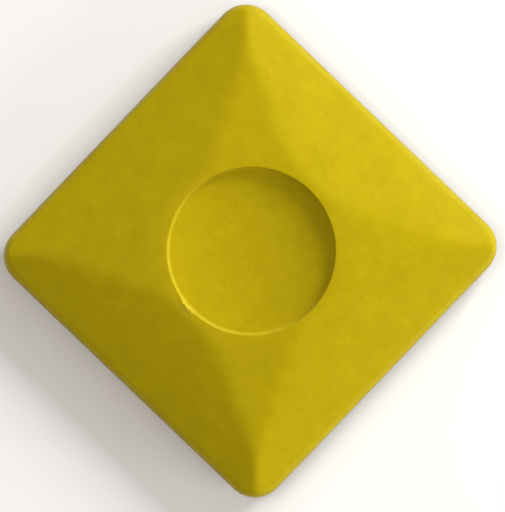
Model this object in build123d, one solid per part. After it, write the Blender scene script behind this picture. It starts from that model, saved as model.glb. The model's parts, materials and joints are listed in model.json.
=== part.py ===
from build123d import *
import os
from math import cos, radians, sin, sqrt, tan

# Raised pavement marker: a square, low pyramid of moulded plastic with a round recess in its crown.
# A hard filling carries the wheels, and a soft slab of adhesive holds the marker to the road.
# Frame: millimetres, +Z up, X and Y parallel to the sides, origin on the road under the centre.

# Driving dimensions of the shell
SIDE = 100.0  # square footprint at the lower rim
CORNER_R = 8.5  # vertical corners in plan
SHELL_HEIGHT = 17.5  # lower rim to crown
SIDE_DRAFT = 3.0  # degrees that each side leans inwards
EDGE_R = 1.6  # round between a side and the top

FACE_SLOPE = 19.5  # degrees, the four traffic faces
FACE_START = 24.3  # centre to the upper end of a traffic face
FACE_RUN = 24.6  # plan length of a traffic face, to the top edge
FACE_CROWN_R = 175.0  # each face is slightly crowned along its fall
HIP_SLOPE = 8.75  # degrees, the four narrow facets on the diagonals
HIP_START = 23.3  # centre to the upper end of a diagonal facet
HIP_RUN = 33.0
HIP_CROWN_R = 790.0
CREASE_R = 5.0  # soft round along every crease of the top

RECESS_R = 22.5  # round recess that takes a bonded disc
RECESS_WALL = 2.5  # crown to the edge of the dished floor
DISH_DEPTH = 2.0  # edge of the floor to its middle
RECESS_FLOOR_R = 0.9  # round at the foot of the recess wall
RECESS_RIM_R = 0.3

WALL = 3.0  # thickness of the top and the sides
CUP_WALL = 2.6  # plastic round and under the recess
RIB_COUNT = 8
RIB_WIDTH = 2.0
RIB_BOTTOM = 5.0  # ribs stop this far above the lower rim
KEY_DEPTH = 1.0  # groove inside the skirt that locks the filling in
KEY_BOTTOM = 2.0  # groove's lower edge above the lower rim
KEY_HEIGHT = 2.0

# Driving dimensions of what the shell holds and stands on
MAT_THICKNESS = 0.8  # glass-fibre mat in the underside of the filling
ADHESIVE_THICKNESS = 3.0  # slab of butyl under the shell
ADHESIVE_INSET = 2.0  # the slab stops this far inside the shell's outline
ADHESIVE_EDGE_R = 0.6

# Levels above the road
SHELL_BASE = ADHESIVE_THICKNESS
CROWN = SHELL_BASE + SHELL_HEIGHT
DISH_EDGE = CROWN - RECESS_WALL
RECESS_FLOOR = DISH_EDGE - DISH_DEPTH
CUP_BOTTOM = RECESS_FLOOR - CUP_WALL
MAT_TOP = SHELL_BASE + MAT_THICKNESS
RIB_BASE = SHELL_BASE + RIB_BOTTOM
KEY_BASE = SHELL_BASE + KEY_BOTTOM


def above_facet(azimuth, slope, start, run, crown_radius, inward):
    """Space over one crowned facet of the top, with the facet moved in along its normal."""
    tilt = radians(slope)
    chord = run / cos(tilt)
    depth = sqrt(crown_radius**2 - (chord / 2) ** 2)
    reach = start + run / 2 - depth * sin(tilt)
    level = CROWN - run * tan(tilt) / 2 - depth * cos(tilt)
    barrel = Pos(reach, 0, level) * Rot(90, 0, 0) * Cylinder(crown_radius - inward, 2 * SIDE)
    outer_half = Box(SIDE, 2 * SIDE, SIDE, align=(Align.MIN, Align.CENTER, Align.CENTER))
    return Rot(0, 0, azimuth) * (outer_half - barrel)


def roofed_block(inset):
    """Drafted square block under the eight facets, with every surface moved in by inset."""
    inset_side = SIDE - 2 * inset / cos(radians(SIDE_DRAFT))
    outline = RectangleRounded(inset_side, inset_side, CORNER_R - inset)
    block = extrude(Pos(0, 0, SHELL_BASE) * outline, SHELL_HEIGHT - inset, taper=SIDE_DRAFT)
    for quarter in range(4):
        block -= above_facet(90 * quarter, FACE_SLOPE, FACE_START, FACE_RUN, FACE_CROWN_R, inset)
        block -= above_facet(90 * quarter + 45, HIP_SLOPE, HIP_START, HIP_RUN, HIP_CROWN_R, inset)
    return block


def is_top(face):
    """True for the crown, the eight facets and the rounds between them."""
    steep = 60  # degrees, far from both the facets and the sides
    return face.normal_at().Z > cos(radians(steep))


def edges_between(body, group_a, group_b):
    """Edges that lie in a face of each group."""
    edges_a = [edge for face in group_a for edge in face.edges()]
    edges_b = [edge for face in group_b for edge in face.edges()]
    return [
        edge for edge in body.edges()
        if any(edge.is_same(other) for other in edges_a)
        and any(edge.is_same(other) for other in edges_b)
    ]


def outer_body():
    """Outside of the marker: the roofed block with soft creases and a rounded top edge."""
    block = roofed_block(0)
    crown = block.faces().sort_by(Axis.Z)[-1]
    slopes = [face for face in block.faces() if is_top(face) and not face.is_same(crown)]
    creases = edges_between(block, [crown], slopes)
    for index, slope in enumerate(slopes):
        creases += edges_between(block, [slope], slopes[index + 1:])
    softened = fillet(creases, CREASE_R)
    top = [face for face in softened.faces() if is_top(face)]
    sides = [face for face in softened.faces() if not is_top(face)]
    return fillet(edges_between(softened, top, sides), EDGE_R)


def slab(bottom, top):
    """Wide slice of space between two levels."""
    return Pos(0, 0, (bottom + top) / 2) * Box(2 * SIDE, 2 * SIDE, top - bottom)


def interior():
    """Space inside the shell's walls, with the groove round the skirt."""
    groove = roofed_block(WALL - KEY_DEPTH) & slab(KEY_BASE, KEY_BASE + KEY_HEIGHT)
    return roofed_block(WALL) + groove


def cup():
    """Solid plug of plastic that the recess is moulded in."""
    radius = RECESS_R + CUP_WALL
    return Pos(0, 0, CUP_BOTTOM) * Cylinder(
        radius, CROWN - CUP_BOTTOM, align=(Align.CENTER, Align.CENTER, Align.MIN)
    )


def ribs():
    """Radial ribs from the cup to the skirt."""
    blade = Pos(RECESS_R, 0, RIB_BASE) * Box(
        SIDE, RIB_WIDTH, SHELL_HEIGHT, align=(Align.MIN, Align.CENTER, Align.MIN)
    )
    return Part() + [Rot(0, 0, 360 / RIB_COUNT * index) * blade for index in range(RIB_COUNT)]


def recess():
    """Round pocket in the crown, with a dished floor and a rounded foot."""
    dish_radius = (RECESS_R**2 + DISH_DEPTH**2) / (2 * DISH_DEPTH)
    pocket = Pos(0, 0, RECESS_FLOOR) * Cylinder(
        RECESS_R, SIDE, align=(Align.CENTER, Align.CENTER, Align.MIN)
    )
    dished = pocket & (Pos(0, 0, RECESS_FLOOR + dish_radius) * Sphere(dish_radius))
    foot = [edge for edge in dished.edges() if abs(edge.center().Z - DISH_EDGE) < 0.01]
    return fillet(foot, RECESS_FLOOR_R)


def lies_on_recess_wall(edge):
    """True when both ends of an edge are at the recess's radius."""
    ends = [edge.position_at(0), edge.position_at(1)]
    return all(abs(Vector(end.X, end.Y).length - RECESS_R) < 0.01 for end in ends)


def recess_rim(shell):
    """Edges where the recess wall meets the crown."""
    rim_level = CROWN - RECESS_WALL / 3
    return [
        edge for edge in shell.edges()
        if edge.center().Z > rim_level and lies_on_recess_wall(edge)
    ]


def marker_shell(hollow, inner_plastic):
    """Yellow moulding: skin, cup and ribs in one piece, open underneath."""
    outside = outer_body()
    shell = outside - hollow + (inner_plastic & outside)
    shell = shell - recess()
    return fillet(recess_rim(shell), RECESS_RIM_R)


def potting_core(hollow, inner_plastic):
    """Hard sand-filled casting that fills the shell above the mat."""
    return (hollow & slab(MAT_TOP, CROWN)) - inner_plastic


def glass_mat(hollow):
    """Glass-fibre mat that closes the shell, level with its lower rim."""
    return hollow & slab(SHELL_BASE, MAT_TOP)


def butyl_adhesive():
    """Soft self-adhesive slab that stands on the road."""
    slab_side = SIDE - 2 * ADHESIVE_INSET
    outline = RectangleRounded(slab_side, slab_side, CORNER_R - ADHESIVE_INSET)
    butyl = extrude(outline, ADHESIVE_THICKNESS)
    return fillet(butyl.edges().group_by(Axis.Z)[0], ADHESIVE_EDGE_R)


if __name__ == "__main__":
    os.makedirs("parts", exist_ok=True)
    hollow_space = interior()
    cup_and_ribs = cup() + (ribs() & hollow_space)
    export_step(marker_shell(hollow_space, cup_and_ribs), "parts/marker_shell.step")
    export_step(potting_core(hollow_space, cup_and_ribs), "parts/potting_core.step")
    export_step(glass_mat(hollow_space), "parts/glass_mat.step")
    export_step(butyl_adhesive(), "parts/butyl_adhesive.step")
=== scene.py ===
# %% [markdown]
# # A raised pavement marker
# This lesson dresses one road marker: a square, low pyramid of yellow plastic with a round recess in
# its crown. It is a hollow moulding, filled with a hard casting over a glass-fibre mat, and it stands
# on a slab of black butyl that sticks it to the road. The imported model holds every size, so it is
# loaded first and nothing here moves or resizes it.

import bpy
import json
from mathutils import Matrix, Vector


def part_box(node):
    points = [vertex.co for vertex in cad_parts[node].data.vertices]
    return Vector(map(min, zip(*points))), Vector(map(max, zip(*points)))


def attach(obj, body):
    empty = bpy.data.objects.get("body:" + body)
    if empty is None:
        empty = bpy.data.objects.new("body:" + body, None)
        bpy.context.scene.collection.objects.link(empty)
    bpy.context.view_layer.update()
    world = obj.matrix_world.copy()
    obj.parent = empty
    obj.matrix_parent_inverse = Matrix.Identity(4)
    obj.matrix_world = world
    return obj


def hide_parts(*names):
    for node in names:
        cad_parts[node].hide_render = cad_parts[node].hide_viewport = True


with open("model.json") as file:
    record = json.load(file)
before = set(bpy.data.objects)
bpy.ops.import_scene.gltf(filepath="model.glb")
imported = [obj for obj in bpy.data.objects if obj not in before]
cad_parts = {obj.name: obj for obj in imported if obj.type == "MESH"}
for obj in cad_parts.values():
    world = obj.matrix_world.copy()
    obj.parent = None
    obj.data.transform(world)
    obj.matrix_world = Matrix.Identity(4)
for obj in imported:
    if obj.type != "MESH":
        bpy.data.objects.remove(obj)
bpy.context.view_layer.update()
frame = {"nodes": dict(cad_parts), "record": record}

# %% [markdown]
# Levels and widths are read from the model where it gives them: the corners of its pieces, and the
# round recess that the record lists as a mount. What it doesn't list, such as the depth of the
# recess's dished floor or the softness of a crease, is named here in millimetres.

# %% Sizes from the model
import math

import bpy
import numpy as np
from mathutils import Matrix, Vector

MM = 0.001

shell_low, shell_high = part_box("marker_shell")
slab_low, slab_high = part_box("butyl_adhesive")
mat_low, mat_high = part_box("glass_mat")
recess = next(m for m in frame["record"]["mounts"] if m["name"] == "disc_recess")

HALF = shell_high.x
BASE = shell_low.z
CROWN = shell_high.z
RECESS_R = recess["dims"]["r_mm"] * MM
WALL_HALF = recess["dims"]["length_mm"] * MM / 2
RIM_ROUND = CROWN - (recess["pos_m"][2] + WALL_HALF)
FOOT_TOP = recess["pos_m"][2] - WALL_HALF
FOOT_ROUND = 0.9 * MM
DISH_EDGE = FOOT_TOP - FOOT_ROUND
DISH_DEPTH = 2.0 * MM
RECESS_FLOOR = DISH_EDGE - DISH_DEPTH
print("half side", HALF, "crown", CROWN, "recess radius", RECESS_R, "floor", RECESS_FLOOR)

# %% [markdown]
# ## Camera, floor and light
# The marker is looked at from straight above, turned so that one corner points up, with a lens long
# enough that its sides stay parallel. A camera's picture is 36 mm wide on its sensor, so the distance
# follows from the height of road that it should show.

# %% Camera
LENS = 300.0
SENSOR = 36.0
SHOWN_HEIGHT = 139.6 * MM
QUARTER_TURN = math.radians(43.76)
LEAN_UP = math.radians(0.1)
LEAN_LEFT = math.radians(0.85)
AIM_RIGHT = 0.54 * MM
AIM_DOWN = 1.37 * MM

road_right = Vector((math.cos(QUARTER_TURN), math.sin(QUARTER_TURN), 0))
road_up = Vector((-math.sin(QUARTER_TURN), math.cos(QUARTER_TURN), 0))
lean = road_up * math.tan(LEAN_UP) - road_right * math.tan(LEAN_LEFT)
back = (Vector((0, 0, 1)) + lean).normalized()
picture_right = road_up.cross(back).normalized()
picture_up = back.cross(picture_right)
aim = Vector((0, 0, BASE)) + road_right * AIM_RIGHT - road_up * AIM_DOWN
camera_data = bpy.data.cameras.new("overhead_camera")
camera_data.lens = LENS
camera_data.sensor_width = SENSOR
camera_data.clip_start = 0.01
camera = bpy.data.objects.new("overhead_camera", camera_data)
distance = SHOWN_HEIGHT * LENS / SENSOR
turn = Matrix((picture_right, picture_up, back)).transposed()
camera.matrix_world = Matrix.Translation(aim + back * distance) @ turn.to_4x4()
bpy.context.scene.collection.objects.link(camera)
bpy.context.scene.camera = camera
bpy.context.scene.view_settings.view_transform = "Standard"
print("camera stands", round(distance, 3), "m above the road")

# %% [markdown]
# A plain pale floor stands for the road. A large soft window low over the far side shows every crease.
# A white card beside it, a ceiling panel and an even pale sky fill the shadows.

# %% Floor
FLOOR_HALF = 3.0
FLOOR_COLOUR = (0.9, 0.93, 0.97, 1)


def plain_floor():
    """Flat pale sheet at the level that the marker stands on."""
    mesh = bpy.data.meshes.new("studio_floor")
    corners = [(-FLOOR_HALF, -FLOOR_HALF, 0), (FLOOR_HALF, -FLOOR_HALF, 0),
               (FLOOR_HALF, FLOOR_HALF, 0), (-FLOOR_HALF, FLOOR_HALF, 0)]
    mesh.from_pydata(corners, [], [(0, 1, 2, 3)])
    floor = bpy.data.objects.new("studio_floor", mesh)
    bpy.context.scene.collection.objects.link(floor)
    material = bpy.data.materials.new("pale_paper")
    material.use_nodes = True
    shader = material.node_tree.nodes["Principled BSDF"]
    shader.inputs["Base Color"].default_value = FLOOR_COLOUR
    shader.inputs["Roughness"].default_value = 0.9
    shader.inputs["Specular IOR Level"].default_value = 0.1
    mesh.materials.append(material)
    return floor


plain_floor()
print("floor is", 2 * FLOOR_HALF, "m square")

# %% Lights
LIGHT_DISTANCE = 1.4
SKY_LEVEL = 0.315
SKY_COLOUR = (1.0, 0.89, 0.78, 1)
PANELS = (
    # name, azimuth, height angle, width, height, power, colour
    ("soft_window", 45, 25, 0.85, 0.5, 23.0, (1.0, 0.99, 0.97)),
    ("white_card", -30, 14, 1.0, 0.5, 12.5, (1.0, 0.98, 0.95)),
    ("ceiling_panel", 180, 72, 0.6, 0.6, 4.5, (1.0, 0.92, 0.84)),
)


def soft_panel(name, azimuth, height_angle, width, height, power, colour):
    """Upright area light that looks at the marker. The azimuth is turned with the camera."""
    data = bpy.data.lights.new(name, "AREA")
    data.shape = "RECTANGLE"
    data.size, data.size_y = width, height
    data.energy = power
    data.color = colour
    light = bpy.data.objects.new(name, data)
    turn, tilt = math.radians(azimuth) + QUARTER_TURN, math.radians(height_angle)
    towards = Vector((math.cos(tilt) * math.cos(turn), math.cos(tilt) * math.sin(turn),
                      math.sin(tilt)))
    light.location = towards * LIGHT_DISTANCE
    light.rotation_mode = "QUATERNION"
    light.rotation_quaternion = towards.to_track_quat("Z", "Y")
    bpy.context.scene.collection.objects.link(light)
    return light


def even_sky():
    """Pale world light from all round."""
    world = bpy.data.worlds.new("even_sky")
    world.use_nodes = True
    background = world.node_tree.nodes["Background"]
    background.inputs["Color"].default_value = SKY_COLOUR
    background.inputs["Strength"].default_value = SKY_LEVEL
    bpy.context.scene.world = world
    return world


for panel in PANELS:
    soft_panel(*panel)
even_sky()
print("lights", [light.name for light in bpy.data.lights])

# %% [markdown]
# ## The net that the shell is drawn on
# The top of the real marker is one mould surface that runs from a round recess out to a rounded
# square. A net of closed rings follows it best: the inner rings are circles, the outer ones are the
# square outline, and those between turn smoothly from one into the other. All rings have the same
# number of points, so they join into plain quads, and the finished skin has no seam.

# %% Plan outlines
POINTS_ROUND = 576
CORNER_R = 8.5 * MM


def outline_directions(half, corner):
    """Directions from the centre to points spaced evenly along a rounded square."""
    straight = 2 * (half - corner)
    arc = corner * math.pi / 2
    side = straight + arc
    walked = np.arange(POINTS_ROUND) * 4 * side / POINTS_ROUND
    quarter, along = np.divmod(walked, side)
    bend = np.clip((along - straight / 2) / corner, 0, math.pi / 2)
    past = np.clip(along - straight / 2 - arc, 0, None)
    x = half - corner + corner * np.cos(bend) - past
    y = np.minimum(along, straight / 2) + corner * np.sin(bend)
    return np.arctan2(y, x) + quarter * math.pi / 2


def rounded_square(angles, half, corner):
    """Where a ray at each angle leaves a rounded square."""
    ray = np.stack([np.cos(angles), np.sin(angles)], axis=1)
    reach = half / np.abs(ray).max(axis=1)
    points = ray * reach[:, None]
    in_corner = np.abs(points).min(axis=1) > half - corner
    arc_centre = (half - corner) * np.sign(ray)
    lift = (ray * arc_centre).sum(axis=1)
    gap = 2 * (half - corner) ** 2 - corner**2
    arc_reach = lift + np.sqrt(np.clip(lift**2 - gap, 0, None))
    return np.where(in_corner[:, None], ray * arc_reach[:, None], points)


def circle(angles, radius):
    """Ring of one radius, or of a radius for each angle, at the same directions."""
    return np.stack([np.cos(angles), np.sin(angles)], axis=1) * np.reshape(radius, (-1, 1))


angles = outline_directions(HALF, CORNER_R)
print("rings have", POINTS_ROUND, "points, first at", round(math.degrees(angles[0]), 3), "degrees")

# %% [markdown]
# ## Rings of the shell
# Each ring says where its points are in plan and how high they stand. A height is either its own
# level, as on the recess floor and the lower rim, or a drop below the roof of the pyramid, which is
# worked out later by one rule. Between the two, as down a side, it is a share of both. The net also
# carries a pale share for each ring: partly wear, because edges polish before faces do, and partly a
# painted highlight on the edges and on the lit side of the recess wall. It also carries a dark share:
# partly the road's dirt that settles round the sides, and partly painted shade on them.

# %% Ring list
def ring(plan, level=0.0, roof_share=0.0, drop=0.0, roof_plan=None, wear_and_highlight=0.0, grime_and_shade=0.0):
    """One closed ring of the net. A value is one number, or an array with one for each point."""
    count = len(plan)
    return {
        "plan": plan,
        "level": np.full(count, level),
        "roof_share": np.full(count, roof_share),
        "drop": np.full(count, drop),
        "roof_plan": plan if roof_plan is None else roof_plan,
        "wear_and_highlight": np.full(count, wear_and_highlight),
        "grime_and_shade": np.full(count, grime_and_shade),
    }


def steps(count, include_first=False):
    """Even shares up to 1, without the first unless it is asked for."""
    first = 0 if include_first else 1
    return [index / count for index in range(first, count + 1)]


# %% [markdown]
# The recess is turned: a floor that is dished, so that it holds glue under a disc, a small round where
# the mould's pin had its corner, a straight wall and a tiny round on the rim. The rim follows the roof,
# so the wall meets the land without a step. On one short stretch the rim is chipped: a ragged bite
# goes into it, and its torn skin stands up beside it as a low burr. The foot, wall and rim are painted
# paler towards the side of the recess that faces the light. This is mostly a painted highlight, and
# partly rubbed wear, as a tool leaves that prises a disc out.

# %% Recess rings
CHIP_AZIMUTH = math.radians(-95)
# Azimuth where the recess wall is painted palest, the side that faces the light: painted highlight,
# partly rubbed wear.
RUB_AND_HIGHLIGHT_AZIMUTH = math.radians(-70)
CHIP_SPREAD = math.radians(6.5)
CHIP_BITE = 0.5 * MM
BURR_HEIGHT = 0.25 * MM
RIM_END = RECESS_R + RIM_ROUND

along_chip = np.angle(np.exp(1j * (angles - CHIP_AZIMUTH))) / CHIP_SPREAD
ragged = 0.62 + 0.25 * np.sin(along_chip * 8.3 + 0.6) + 0.2 * np.sin(along_chip * 19.0)
chip = CHIP_BITE * np.exp(-along_chip**6) * ragged
burr = BURR_HEIGHT * np.exp(-along_chip**4) * (1.2 - ragged)
# Pale share round the recess wall, largest on its lit side: painted highlight, partly rubbed wear.
rub_and_lit_highlight = 0.38 + 0.38 * np.cos(angles - RUB_AND_HIGHLIGHT_AZIMUTH)
scuffed = np.exp(-along_chip**4)


def recess_rings():
    """Dished floor, foot round, wall and rim round, from the centre out."""
    rings = []
    flat_radius = RECESS_R - FOOT_ROUND
    for share in steps(16):
        level = RECESS_FLOOR + DISH_DEPTH * share**2
        rings.append(ring(circle(angles, flat_radius * share), level))
    # The foot, wall and rim carry the pale share: a painted highlight on the lit side, partly wear.
    for share in steps(7):
        turn = share * math.pi / 2
        radius = flat_radius + FOOT_ROUND * math.sin(turn)
        level = DISH_EDGE + FOOT_ROUND * (1 - math.cos(turn))
        rings.append(ring(circle(angles, radius), level, wear_and_highlight=rub_and_lit_highlight * share))
    rim_plan = circle(angles, RIM_END + chip)
    for share in steps(6):
        wall = circle(angles, RECESS_R + chip * share**3)
        rings.append(ring(wall, FOOT_TOP, share, RIM_ROUND, rim_plan, wear_and_highlight=rub_and_lit_highlight))
    for share in steps(6):
        turn = share * math.pi / 2
        radius = RIM_END + chip - RIM_ROUND * math.cos(turn)
        drop = RIM_ROUND * (1 - math.sin(turn)) - burr * share
        rings.append(ring(circle(angles, radius), 0, 1, drop, rim_plan, wear_and_highlight=rub_and_lit_highlight * math.cos(turn)))
    return rings


dish = recess_rings()
print("recess has", len(dish), "rings")

# %% [markdown]
# The roof runs from the rim to the outline, the top edge is a quarter round, and the sides lean in
# by the draft that let the real shell leave its mould. The skin then turns under the lower rim and
# goes back up inside, past the groove that locks the filling, to the underside of the cup. So the
# shell is one closed wall with a true thickness, as a moulding is.

# %% Outer rings
ROOF_RINGS = 58
EDGE_ROUND = 1.6 * MM
SIDE_INSET = 0.55 * MM
DRAFT = math.radians(3)
LOWER_ROUND = 0.3 * MM
# How dark the sides are painted: road dirt and painted shade.
SIDE_GRIME_AND_SHADE = 0.85


def inset_outline(inset):
    """Rounded square of the footprint, moved in."""
    return rounded_square(angles, HALF - inset, CORNER_R - inset)


def roof_rings():
    """From the rim of the recess to where the top edge begins to round."""
    inner = circle(angles, RIM_END + chip)
    outer = inset_outline(SIDE_INSET + EDGE_ROUND * math.cos(DRAFT))
    rings = []
    for share in steps(ROOF_RINGS):
        burr_left = max(0.0, 1 - share * ROOF_RINGS / 2)
        scuff = scuffed * max(0.0, 1 - share * ROOF_RINGS / 5)
        plan = inner + (outer - inner) * share
        rings.append(ring(plan, 0, 1, -burr * burr_left, wear_and_highlight=scuff * 0.6, grime_and_shade=scuff * 0.9))
    return rings


def side_rings():
    """Top edge round, drafted side and the small round of the lower rim."""
    rings = []
    sweep = math.pi / 2 - DRAFT
    for share in steps(9):
        inset = SIDE_INSET + EDGE_ROUND * (math.sin(sweep) - math.sin(sweep * share))
        drop = EDGE_ROUND * (1 - math.cos(sweep * share))
        # The top edge's round: a pale line, partly wear and partly painted highlight, then darker
        # towards the side with dirt and painted shade.
        rings.append(ring(inset_outline(inset), 0, 1, drop, wear_and_highlight=math.sin(math.pi * share) / 6,
                          grime_and_shade=SIDE_GRIME_AND_SHADE * share))
    edge_plan = inset_outline(SIDE_INSET)
    # The drafted side and lower rim are painted darker all round: dirt and painted shade.
    for share in steps(10):
        rings.append(ring(inset_outline(SIDE_INSET * (1 - share)), BASE + LOWER_ROUND,
                          1 - share, drop, edge_plan, grime_and_shade=SIDE_GRIME_AND_SHADE))
    for share in steps(3):
        turn = share * math.pi / 2
        inset = LOWER_ROUND * (1 - math.cos(turn))
        level = BASE + LOWER_ROUND * (1 - math.sin(turn))
        rings.append(ring(inset_outline(inset), level, wear_and_highlight=0.2, grime_and_shade=SIDE_GRIME_AND_SHADE))
    return rings


outside = roof_rings() + side_rings()
print("outside has", len(outside), "rings")

# %% Inner rings
WALL = 3.0 * MM
ROOF_DEPTH = 3.18 * MM
CUP_WALL = 2.6 * MM
KEY_DEPTH = 1.0 * MM
KEY_LEVELS = (2.0 * MM, 4.0 * MM)


def inner_rings():
    """Underside, inside wall with its groove, inside of the roof and the cup."""
    low, high = BASE + KEY_LEVELS[0], BASE + KEY_LEVELS[1]
    wall_steps = [(WALL, BASE), (WALL, low), (WALL - KEY_DEPTH, low), (WALL - KEY_DEPTH, high),
                  (WALL + KEY_DEPTH / 2, high)]
    rings = [ring(inset_outline(inset), level) for inset, level in wall_steps]
    outer = inset_outline(WALL + KEY_DEPTH)
    inner = circle(angles, RECESS_R + CUP_WALL)
    for share in steps(16, include_first=True):
        rings.append(ring(outer + (inner - outer) * share, 0, 1, ROOF_DEPTH))
    cup_bottom = RECESS_FLOOR - CUP_WALL
    rings.append(ring(inner, cup_bottom))
    rings.append(ring(inner / 2, cup_bottom))
    return rings


inside = inner_rings()
print("inside has", len(inside), "rings")

# %% [markdown]
# Now the rings become a mesh. Each pair of rings gives a band of quads, and a single point closes
# each end. What the rings know is stored on the points, where Geometry Nodes and the materials can
# read it.

# %% Net to mesh
def closed_net(name, rings, first_level, last_level):
    """Closed mesh of quads through all the rings, with a point at each end."""
    flat = np.concatenate([r["plan"] for r in rings])
    level = np.concatenate([r["level"] for r in rings])
    body = np.column_stack([flat, level])
    ends = np.array([[0, 0, first_level], [0, 0, last_level]])
    count = len(rings[0]["plan"])
    index = np.arange(len(rings) * count).reshape(len(rings), count)
    following = np.roll(index, -1, axis=1)
    quads = np.stack([index[:-1], index[1:], following[1:], following[:-1]], axis=-1)
    faces = quads.reshape(-1, 4).tolist()
    first, last = len(body), len(body) + 1
    faces += [(first, a, b) for a, b in zip(index[0].tolist(), following[0].tolist())]
    faces += [(last, b, a) for a, b in zip(index[-1].tolist(), following[-1].tolist())]
    mesh = bpy.data.meshes.new(name)
    mesh.from_pydata(np.vstack([body, ends]).tolist(), [], faces)
    for key in ("roof_share", "drop", "wear_and_highlight", "grime_and_shade"):
        values = np.concatenate([r[key] for r in rings] + [np.zeros(2)])
        mesh.attributes.new(key, "FLOAT", "POINT").data.foreach_set("value", values)
    plan = np.zeros((len(body) + 2, 3))
    plan[:-2, :2] = np.concatenate([r["roof_plan"] for r in rings])
    mesh.attributes.new("roof_plan", "FLOAT_VECTOR", "POINT").data.foreach_set("vector", plan.ravel())
    mesh.validate()
    return mesh


def place(name, mesh):
    """Object for a mesh, at the origin."""
    piece = bpy.data.objects.new(name, mesh)
    bpy.context.scene.collection.objects.link(piece)
    return piece


shell_mesh = closed_net("shell_skin", dish + outside + inside, RECESS_FLOOR, RECESS_FLOOR - CUP_WALL)
shell_skin = place("shell_skin", shell_mesh)
print("net has", len(shell_mesh.vertices), "points and", len(shell_mesh.polygons), "faces")

# %% [markdown]
# ## The roof rule
# The top is eight facets and a small level land: four wide faces for the traffic, and a narrow facet
# on each diagonal that starts at the recess and runs out before the corner. Each is slightly crowned
# along its fall, so it steepens towards the edge. The lowest of them over a point is the roof there.
# A smooth minimum in place of a plain one rounds every crease by the same soft amount, as a worn
# mould does. This is a rule, so a Geometry Nodes tree can hold it, with the slopes as its inputs.

# %% Node helpers
def feed(tree, target, value):
    """Links a socket to an input, or writes a plain value on it."""
    if isinstance(value, bpy.types.NodeSocket):
        tree.links.new(value, target)
    else:
        target.default_value = value


def maths(tree, operation, *values):
    """One Math node, with its inputs linked or set."""
    node = tree.nodes.new("ShaderNodeMath")
    node.operation = operation
    for target, value in zip(node.inputs, values):
        feed(tree, target, value)
    return node.outputs[0]


def stored(tree, name, kind="FLOAT"):
    """What the net stored on its points under a name."""
    node = tree.nodes.new("GeometryNodeInputNamedAttribute")
    node.data_type = kind
    node.inputs["Name"].default_value = name
    return node.outputs["Attribute"]


def new_tree(name, inputs):
    """Geometry tree with a geometry input, named number inputs, and a geometry output."""
    tree = bpy.data.node_groups.new(name, "GeometryNodeTree")
    face = tree.interface
    face.new_socket("Geometry", in_out="INPUT", socket_type="NodeSocketGeometry")
    for label, kind in inputs:
        face.new_socket(label, in_out="INPUT", socket_type=kind)
    face.new_socket("Geometry", in_out="OUTPUT", socket_type="NodeSocketGeometry")
    return tree, tree.nodes.new("NodeGroupInput"), tree.nodes.new("NodeGroupOutput")


def apply_tree(piece, tree, values):
    """Runs a tree on a piece with these inputs and keeps the result as a plain mesh."""
    modifier = piece.modifiers.new(tree.name, "NODES")
    modifier.node_group = tree
    sockets = {item.name: item.identifier for item in tree.interface.items_tree
               if item.in_out == "INPUT"}
    for label, value in values.items():
        modifier[sockets[label]] = value
    view = bpy.context.evaluated_depsgraph_get()
    result = bpy.data.meshes.new_from_object(piece.evaluated_get(view))
    piece.modifiers.remove(modifier)
    piece.data = result
    return result


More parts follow.
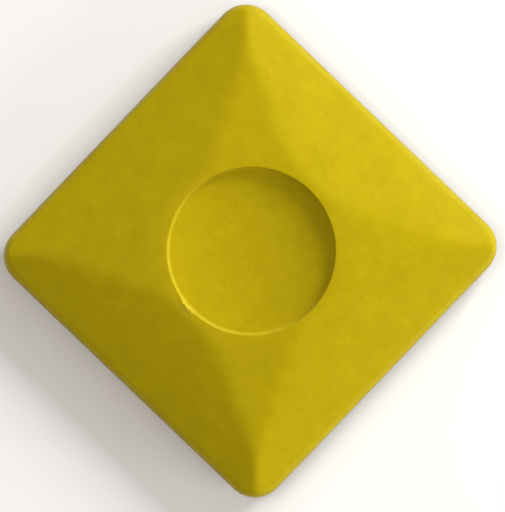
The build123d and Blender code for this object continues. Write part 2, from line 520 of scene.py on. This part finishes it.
# %% Roof rule tree
def roof_rule():
    """Tree that lifts every point of the net to the roof, the lowest of the facets over it."""
    numbers = ["Crown", "Face Slope", "Face Start", "Face Run", "Face Radius", "Hip Slope",
               "Hip Start", "Hip Run", "Hip Radius", "Softness", "Warp", "Warp Scale", "Seed"]
    inputs = [(label, "NodeSocketFloat") for label in numbers] + [("Material", "NodeSocketMaterial")]
    tree, given, out = new_tree("roof_rule", inputs)
    ask = given.outputs
    plan = tree.nodes.new("ShaderNodeSeparateXYZ")
    tree.links.new(stored(tree, "roof_plan", "FLOAT_VECTOR"), plan.inputs[0])
    along_x = maths(tree, "ABSOLUTE", plan.outputs["X"])
    along_y = maths(tree, "ABSOLUTE", plan.outputs["Y"])
    towards_side = maths(tree, "SMOOTH_MAX", along_x, along_y,
                         maths(tree, "DIVIDE", ask["Softness"], ask["Face Slope"]))
    towards_corner = maths(tree, "MULTIPLY", maths(tree, "ADD", along_x, along_y),
                           math.sqrt(0.5))

    def facet(reach, kind):
        """Height of one kind of facet. It falls with reach, more slowly near its upper end."""
        past = maths(tree, "SUBTRACT", reach, ask[kind + " Start"])
        left = maths(tree, "SUBTRACT", ask[kind + " Run"], past)
        swell = maths(tree, "DIVIDE", left, maths(tree, "ADD", ask[kind + " Radius"],
                                                  ask[kind + " Radius"]))
        fall = maths(tree, "MULTIPLY", past, maths(tree, "SUBTRACT", ask[kind + " Slope"], swell))
        return maths(tree, "SUBTRACT", ask["Crown"], fall)

    face, hip = facet(towards_side, "Face"), facet(towards_corner, "Hip")
    slopes = maths(tree, "SMOOTH_MIN", face, hip, ask["Softness"])
    roof = maths(tree, "SMOOTH_MIN", slopes, ask["Crown"], ask["Softness"])
    warp = tree.nodes.new("ShaderNodeTexNoise")
    warp.noise_dimensions = "4D"
    tree.links.new(stored(tree, "roof_plan", "FLOAT_VECTOR"), warp.inputs["Vector"])
    feed(tree, warp.inputs["Scale"], ask["Warp Scale"])
    feed(tree, warp.inputs["W"], ask["Seed"])
    warp.inputs["Detail"].default_value = 1.0
    sway = maths(tree, "MULTIPLY", maths(tree, "SUBTRACT", warp.outputs[0], 0.5), ask["Warp"])
    skin = maths(tree, "SUBTRACT", maths(tree, "ADD", roof, sway), stored(tree, "drop"))

    here = tree.nodes.new("GeometryNodeInputPosition")
    own = tree.nodes.new("ShaderNodeSeparateXYZ")
    tree.links.new(here.outputs[0], own.inputs[0])
    share = stored(tree, "roof_share")
    lift = maths(tree, "MULTIPLY", maths(tree, "SUBTRACT", skin, own.outputs["Z"]), share)
    height = maths(tree, "ADD", own.outputs["Z"], lift)
    point = tree.nodes.new("ShaderNodeCombineXYZ")
    tree.links.new(own.outputs["X"], point.inputs["X"])
    tree.links.new(own.outputs["Y"], point.inputs["Y"])
    tree.links.new(height, point.inputs["Z"])
    move = tree.nodes.new("GeometryNodeSetPosition")
    tree.links.new(ask["Geometry"], move.inputs["Geometry"])
    tree.links.new(point.outputs[0], move.inputs["Position"])
    finish_tree(tree, move.outputs[0], ask["Material"], out)
    return tree


def finish_tree(tree, geometry, material, out):
    """Ends a tree: real geometry, smooth shading and its material."""
    real = tree.nodes.new("GeometryNodeRealizeInstances")
    smooth = tree.nodes.new("GeometryNodeSetShadeSmooth")
    paint = tree.nodes.new("GeometryNodeSetMaterial")
    tree.links.new(geometry, real.inputs[0])
    tree.links.new(real.outputs[0], smooth.inputs["Geometry"])
    tree.links.new(smooth.outputs[0], paint.inputs["Geometry"])
    tree.links.new(material, paint.inputs["Material"])
    tree.links.new(paint.outputs[0], out.inputs[0])


roof_tree = roof_rule()
print("roof rule has", len(roof_tree.nodes), "nodes")

# %% [markdown]
# ## Finishes
# The shell is plastic that is coloured all through, so its finish has no paint edge. What shows is
# the matte skin of the mould: a mottle where the pigment mixed unevenly, a fine grain, and a few pits
# where air was trapped, each painted darker inside as painted shade. A paler line along the edges is
# partly rubbed wear and partly a painted highlight, and the sides are painted darker, partly road dirt
# and partly painted shade. Every pattern reads the marker's own coordinates, so it stays put from any
# side.

# %% Material helpers
def plain_shader(name, roughness, specular=0.5):
    """Material with one Principled shader, and the object's own coordinates."""
    material = bpy.data.materials.new(name)
    material.use_nodes = True
    tree = material.node_tree
    shader = tree.nodes["Principled BSDF"]
    shader.inputs["Roughness"].default_value = roughness
    shader.inputs["Specular IOR Level"].default_value = specular
    where = tree.nodes.new("ShaderNodeTexCoord").outputs["Object"]
    return material, tree, shader, where


def speckle(tree, where, scale, seed, detail=2.0, coarse=0.5):
    """Soft noise, from about 0.3 to 0.7, with its own seed. Coarse is how strong its fine part is."""
    node = tree.nodes.new("ShaderNodeTexNoise")
    node.noise_dimensions = "4D"
    tree.links.new(where, node.inputs["Vector"])
    node.inputs["W"].default_value = seed
    node.inputs["Scale"].default_value = scale
    node.inputs["Detail"].default_value = detail
    node.inputs["Roughness"].default_value = coarse
    return node.outputs["Fac"]


def stretched(tree, where, turn, scale):
    """Coordinates turned about the marker's axis and scaled, for a pattern with a direction."""
    node = tree.nodes.new("ShaderNodeMapping")
    tree.links.new(where, node.inputs["Vector"])
    node.inputs["Rotation"].default_value = (0, 0, turn)
    node.inputs["Scale"].default_value = scale
    return node.outputs[0]


def span(tree, value, low, high, to_low, to_high):
    """Value moved from one range to another, and held at its ends."""
    node = tree.nodes.new("ShaderNodeMapRange")
    tree.links.new(value, node.inputs["Value"])
    for label, number in zip(("From Min", "From Max", "To Min", "To Max"),
                             (low, high, to_low, to_high)):
        node.inputs[label].default_value = number
    return node.outputs["Result"]


def tint(tree, share, first, second):
    """Colour between two, by a share. Each is a colour or another node's colour."""
    node = tree.nodes.new("ShaderNodeMix")
    node.data_type = "RGBA"
    feed(tree, node.inputs["Factor"], share)
    for target, value in zip((node.inputs["A"], node.inputs["B"]), (first, second)):
        feed(tree, [i for i in node.inputs if i.name == target.name and i.type == "RGBA"][0], value)
    return [o for o in node.outputs if o.type == "RGBA"][0]


def bumps(tree, shader, layers):
    """Stacks height patterns on the shader's normal. Each layer is a pattern and its depth."""
    normal = None
    for height, depth in layers:
        node = tree.nodes.new("ShaderNodeBump")
        node.inputs["Strength"].default_value = 1.0
        node.inputs["Distance"].default_value = depth
        tree.links.new(height, node.inputs["Height"])
        if normal is not None:
            tree.links.new(normal, node.inputs["Normal"])
        normal = node.outputs["Normal"]
    tree.links.new(normal, shader.inputs["Normal"])


def carried(tree, name):
    """What the net stored on its points, as a shader value."""
    node = tree.nodes.new("ShaderNodeAttribute")
    node.attribute_name = name
    return node.outputs["Fac"]


# %% Yellow moulding
YELLOW = (0.47, 0.376, 0.0042, 1)
YELLOW_DEEP = (0.395, 0.308, 0.003, 1)
# Paler colour for the edges and the lit recess wall: partly wear, partly painted highlight.
YELLOW_WORN_AND_HIGHLIT = (0.58, 0.5, 0.035, 1)
# Darker colour: road dirt and painted shade on the sides, painted shade in the pits.
YELLOW_GRIMY_SHADE = (0.30, 0.22, 0.006, 1)
MOTTLE_SCALE = 150
GRAIN_TURN = math.radians(12)
GRAIN_STRETCH = (260, 1500, 600)
PIT_SCALE = 260


def yellow_moulding():
    """Matte mustard plastic: pits painted dark, edges paler from wear and painted highlight, sides
    darker from dirt and painted shade.
    """
    material, tree, shader, where = plain_shader("yellow_moulding", 0.5, 0.15)
    shader.inputs["Specular Tint"].default_value = (1.0, 0.85, 0.15, 1)
    mottle = span(tree, speckle(tree, where, MOTTLE_SCALE, 1.7, 6, 0.8), 0.35, 0.65, 0, 1)
    colour = tint(tree, mottle, YELLOW_DEEP, YELLOW)
    grain_place = stretched(tree, where, GRAIN_TURN, GRAIN_STRETCH)
    grain = speckle(tree, grain_place, 1.0, 4.1, 2)
    colour = tint(tree, span(tree, grain, 0.3, 0.7, 0.0, 0.55), colour, YELLOW_DEEP)
    # Pale share: rubbed wear and painted highlight on the edges and the lit side of the recess wall.
    pale_wear_and_highlight = maths(tree, "MULTIPLY", carried(tree, "wear_and_highlight"),
                 span(tree, speckle(tree, where, 320, 8.3), 0.35, 0.6, 0.5, 1.0))
    colour = tint(tree, pale_wear_and_highlight, colour, YELLOW_WORN_AND_HIGHLIT)
    # Dark share: road dirt and painted shade on the sides.
    dirt_and_shade = maths(tree, "MULTIPLY", carried(tree, "grime_and_shade"),
                 span(tree, speckle(tree, where, 240, 2.9), 0.4, 0.62, 0.25, 0.75))
    colour = tint(tree, dirt_and_shade, colour, YELLOW_GRIMY_SHADE)
    pits, painted_pit_shade = air_pits(tree, where)
    # The pits are painted darker inside: painted shade.
    colour = tint(tree, maths(tree, "MULTIPLY", painted_pit_shade, 0.5), colour, YELLOW_GRIMY_SHADE)
    tree.links.new(colour, shader.inputs["Base Color"])
    skin = speckle(tree, where, 1900, 5.5, 3)
    sheen = span(tree, speckle(tree, where, 110, 6.4, 3), 0.35, 0.65, 0.44, 0.56)
    tree.links.new(sheen, shader.inputs["Roughness"])
    bumps(tree, shader, [(skin, 0.02 * MM), (grain, 0.012 * MM), (pits, 0.12 * MM)])
    return material


def air_pits(tree, where):
    """Few small round pits: how deep a point is in one, and a mask of them."""
    cells = tree.nodes.new("ShaderNodeTexVoronoi")
    tree.links.new(where, cells.inputs["Vector"])
    cells.inputs["Scale"].default_value = PIT_SCALE
    chosen = maths(tree, "GREATER_THAN", cells.outputs["Color"], 0.93)
    near = span(tree, cells.outputs["Distance"], 0.0, 0.14, 1, 0)
    mask = maths(tree, "MULTIPLY", near, chosen)
    return maths(tree, "SUBTRACT", 1.0, mask), mask


yellow = yellow_moulding()
print("yellow moulding has", len(yellow.node_tree.nodes), "nodes")

# %% [markdown]
# The butyl is a tacky black rubber compound. Its sides are cut, its underside keeps the fine weave
# that its release film pressed into it, and it has a dull sheen. The casting is resin crowded with
# grey sand, and the mat is white glass cloth soaked in the same resin.

# %% Other finishes
def black_butyl():
    """Tacky black compound with a pressed weave."""
    material, tree, shader, where = plain_shader("black_butyl", 0.5, 0.4)
    cloudy = span(tree, speckle(tree, where, 120, 3.3, 4), 0.35, 0.65, 0, 1)
    tree.links.new(tint(tree, cloudy, (0.012, 0.012, 0.014, 1), (0.03, 0.03, 0.032, 1)),
                   shader.inputs["Base Color"])
    tree.links.new(span(tree, cloudy, 0, 1, 0.38, 0.6), shader.inputs["Roughness"])
    underside = span(tree, height_of(tree, where), 0.1 * MM, 0.5 * MM, 1, 0)
    weave = maths(tree, "MULTIPLY", woven(tree, where, 1.3 * MM), underside)
    bumps(tree, shader, [(speckle(tree, where, 700, 9.1, 3), 0.05 * MM), (weave, 0.05 * MM)])
    return material


def height_of(tree, where):
    """Third part of a place, its height over the road."""
    parts = tree.nodes.new("ShaderNodeSeparateXYZ")
    tree.links.new(where, parts.inputs[0])
    return parts.outputs["Z"]


def woven(tree, where, pitch):
    """Height of a plain weave of this pitch, one thread over and one under."""
    turned = [stretched(tree, where, angle, (math.tau / pitch,) * 3) for angle in (0, math.pi / 2)]
    threads = []
    for place_on_thread in turned:
        parts = tree.nodes.new("ShaderNodeSeparateXYZ")
        tree.links.new(place_on_thread, parts.inputs[0])
        threads.append(maths(tree, "SINE", parts.outputs["X"]))
    return maths(tree, "MULTIPLY", threads[0], threads[1])


def grey_casting():
    """Sand-filled resin."""
    material, tree, shader, where = plain_shader("grey_casting", 0.7, 0.3)
    sand = tree.nodes.new("ShaderNodeTexVoronoi")
    tree.links.new(where, sand.inputs["Vector"])
    sand.inputs["Scale"].default_value = 1100
    grains = span(tree, sand.outputs["Color"], 0, 1, 0, 1)
    colour = tint(tree, grains, (0.24, 0.23, 0.21, 1), (0.45, 0.43, 0.39, 1))
    dull = span(tree, speckle(tree, where, 90, 7.7, 3), 0.35, 0.65, 0, 0.4)
    tree.links.new(tint(tree, dull, colour, (0.2, 0.2, 0.19, 1)), shader.inputs["Base Color"])
    bumps(tree, shader, [(sand.outputs["Distance"], 0.2 * MM)])
    return material


def glass_cloth():
    """White glass cloth soaked in resin."""
    material, tree, shader, where = plain_shader("glass_cloth", 0.4)
    weave = woven(tree, where, 2.4 * MM)
    fibres = speckle(tree, stretched(tree, where, math.radians(45), (400, 4000, 400)), 1.0, 3.9, 2)
    colour = tint(tree, span(tree, weave, -1, 1, 0, 1), (0.55, 0.58, 0.5, 1), (0.78, 0.8, 0.74, 1))
    colour = tint(tree, span(tree, fibres, 0.35, 0.65, 0, 0.3), colour, (0.42, 0.43, 0.38, 1))
    tree.links.new(colour, shader.inputs["Base Color"])
    bumps(tree, shader, [(weave, 0.1 * MM), (fibres, 0.03 * MM)])
    return material


butyl, casting, cloth = black_butyl(), grey_casting(), glass_cloth()
print("finishes", butyl.name, casting.name, cloth.name)

# %% [markdown]
# ## The shell
# The rule is run on the net with the marker's slopes. Warp is the slow unevenness that a thick
# moulding takes as it cools, a few hundredths of a millimetre.

# %% Shell skin
FACE_SLOPE = math.tan(math.radians(19.5))
FACE_START = 24.3 * MM
FACE_RUN = 24.6 * MM
FACE_RADIUS = 175 * MM
HIP_SLOPE = math.tan(math.radians(8.75))
HIP_START = 23.3 * MM
HIP_RUN = 33 * MM
HIP_RADIUS = 790 * MM
SOFTNESS = 0.85 * MM
WARP = 0.1 * MM
WARP_SCALE = 38.0
WARP_SEED = 5.0

apply_tree(shell_skin, roof_tree, {
    "Crown": CROWN, "Face Slope": FACE_SLOPE, "Face Start": FACE_START, "Face Run": FACE_RUN,
    "Face Radius": FACE_RADIUS, "Hip Slope": HIP_SLOPE, "Hip Start": HIP_START, "Hip Run": HIP_RUN,
    "Hip Radius": HIP_RADIUS, "Softness": SOFTNESS, "Warp": WARP, "Warp Scale": WARP_SCALE,
    "Seed": WARP_SEED, "Material": yellow,
})
tops = [round(v.co.z / MM, 2) for v in shell_skin.data.vertices]
print("shell skin stands from", min(tops), "to", max(tops), "mm")

# %% [markdown]
# Inside, ribs run from the cup to the skirt, so that a wheel's weight goes down into the filling and
# not across the thin roof. They repeat round the axis, so one blade is drawn and a tree turns it.
# The blades on the diagonals are longer, because the corners are further out.

# %% Ribs
RIB_WIDTH = 2.0 * MM
RIB_LOW = BASE + 5.0 * MM
RIB_OVERLAP = 1.0 * MM


def roof_underside(reach, diagonal):
    """Level of the inside of the roof, along a side's middle or along a diagonal."""
    face_reach = reach * math.sqrt(0.5) if diagonal else reach
    hip_reach = reach if diagonal else reach * math.sqrt(0.5)
    face = CROWN - FACE_SLOPE * (face_reach - FACE_START)
    hip = CROWN - HIP_SLOPE * (hip_reach - HIP_START)
    return min(face, hip, CROWN) - ROOF_DEPTH


def blade(name, outer, diagonal):
    """One upright blade, from the cup's wall out to the skirt, let into both by the overlap."""
    start = RECESS_R + CUP_WALL - RIB_OVERLAP
    reaches = [start + (outer - start) * share for share in steps(8, include_first=True)]
    top = [(reach, roof_underside(reach, diagonal) + RIB_OVERLAP) for reach in reaches]
    section = [(start, RIB_LOW), (outer, RIB_LOW)] + top[::-1]
    count = len(section)
    points = [(x, side * RIB_WIDTH / 2, z) for side in (-1, 1) for x, z in section]
    walls = [(i, (i + 1) % count, (i + 1) % count + count, i + count) for i in range(count)]
    caps = [tuple(range(count))[::-1], tuple(range(count, 2 * count))]
    mesh = bpy.data.meshes.new(name)
    mesh.from_pydata(points, [], [w[::-1] for w in walls] + [c[::-1] for c in caps])
    return place(name, mesh)


def turned_copies():
    """Tree that repeats what it is given round the vertical axis."""
    inputs = [("Count", "NodeSocketInt"), ("First Angle", "NodeSocketFloat"),
              ("Material", "NodeSocketMaterial")]
    tree, given, out = new_tree("turned_copies", inputs)
    ask = given.outputs
    points = tree.nodes.new("GeometryNodeMeshLine")
    tree.links.new(ask["Count"], points.inputs["Count"])
    points.inputs["Offset"].default_value = (0, 0, 0)
    number = tree.nodes.new("GeometryNodeInputIndex").outputs[0]
    angle = maths(tree, "ADD", ask["First Angle"],
                  maths(tree, "DIVIDE", maths(tree, "MULTIPLY", number, math.tau),
                        ask["Count"]))
    turn = tree.nodes.new("ShaderNodeCombineXYZ")
    tree.links.new(angle, turn.inputs["Z"])
    copies = tree.nodes.new("GeometryNodeInstanceOnPoints")
    tree.links.new(points.outputs[0], copies.inputs["Points"])
    tree.links.new(ask["Geometry"], copies.inputs["Instance"])
    tree.links.new(turn.outputs[0], copies.inputs["Rotation"])
    finish_tree(tree, copies.outputs[0], ask["Material"], out)
    return tree


def ribs():
    """All the blades, straight ones and diagonal ones."""
    tree = turned_copies()
    side_reach = HALF - WALL - SIDE_INSET
    corner_reach = (HALF - CORNER_R) * math.sqrt(2) + CORNER_R - WALL - SIDE_INSET
    made = []
    for name, outer, diagonal in (("side_rib", side_reach, False), ("hip_rib", corner_reach, True)):
        piece = blade(name, outer, diagonal)
        first = math.pi / 4 if diagonal else 0.0
        apply_tree(piece, tree, {"Count": 4, "First Angle": first, "Material": yellow})
        made.append(piece)
    return made


rib_pieces = ribs()
print("ribs have", [len(piece.data.polygons) for piece in rib_pieces], "faces")

# %% [markdown]
# The skin and the ribs come out of one mould as one piece, so their meshes are joined into one
# object, which takes the place of the plain shell of the model.

# %% Join the shell
import bmesh


def join(name, pieces):
    """One object from several, which it replaces."""
    joined = bmesh.new()
    for piece in pieces:
        joined.from_mesh(piece.data)
    mesh = bpy.data.meshes.new(name)
    joined.to_mesh(mesh)
    joined.free()
    mesh.materials.append(pieces[0].data.materials[0])
    for piece in pieces:
        bpy.data.objects.remove(piece)
    return place(name, mesh)


moulded_shell = join("moulded_shell", [shell_skin] + rib_pieces)
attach(moulded_shell, "root")
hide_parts("marker_shell")
print("moulded shell has", len(moulded_shell.data.polygons), "faces")

# %% [markdown]
# ## The butyl slab
# Soft butyl is cut from a roll, and the weight of the marker makes its sides swell a little and
# wander. The same net of rings draws it, with a swollen side between two soft edges.

# %% Butyl slab
SLAB_HALF = slab_high.x
SLAB_CORNER = CORNER_R - (HALF - SLAB_HALF)
SLAB_EDGE = 0.6 * MM
SWELL = 0.35 * MM


def slab_rings():
    """Top, swollen side and underside of the slab, from the centre of the top."""
    wander = SWELL / 2 * (np.sin(angles * 5 + 1.1) + np.sin(angles * 11 + 0.4)) / 2

    def outline(inset, free=1.0):
        plan = rounded_square(angles, SLAB_HALF - inset, max(SLAB_CORNER - inset, SLAB_EDGE))
        length = np.linalg.norm(plan, axis=1)
        return plan * (1 + free * wander / length)[:, None]

    top, low = slab_high.z, slab_low.z
    rings = [ring(outline(SLAB_EDGE * 2) * share, top) for share in (0.25, 0.5, 0.75, 1.0)]
    for share in steps(12):
        turn = math.pi * share
        level = top - (top - low) * (1 - math.cos(turn)) / 2
        inset = SLAB_EDGE * 2 * (1 - math.sin(turn) ** 0.4) - SWELL * math.sin(turn)
        rings.append(ring(outline(inset, math.sin(turn)), level))
    rings += [ring(outline(SLAB_EDGE * 2) * share, low) for share in (0.75, 0.5, 0.25)]
    return rings


slab_mesh = closed_net("butyl_slab", slab_rings(), slab_high.z, slab_low.z)
slab_mesh.materials.append(butyl)
slab_mesh.shade_smooth()
butyl_slab = place("butyl_slab", slab_mesh)
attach(butyl_slab, "root")
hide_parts("butyl_adhesive")
print("butyl slab has", len(slab_mesh.polygons), "faces")

# %% [markdown]
# ## What the shell hides
# The casting and the glass mat have the right shape already, so they stay as they are in the model
# and only get their finish.

# %% Hidden pieces
def repaint(node, material):
    """Gives a piece of the model a better material."""
    piece = frame["nodes"][node]
    piece.data.materials.clear()
    piece.data.materials.append(material)


repaint("potting_core", casting)
repaint("glass_mat", cloth)
print("casting and mat are painted")

# %% [markdown]

# %% Sizes and finish
import json
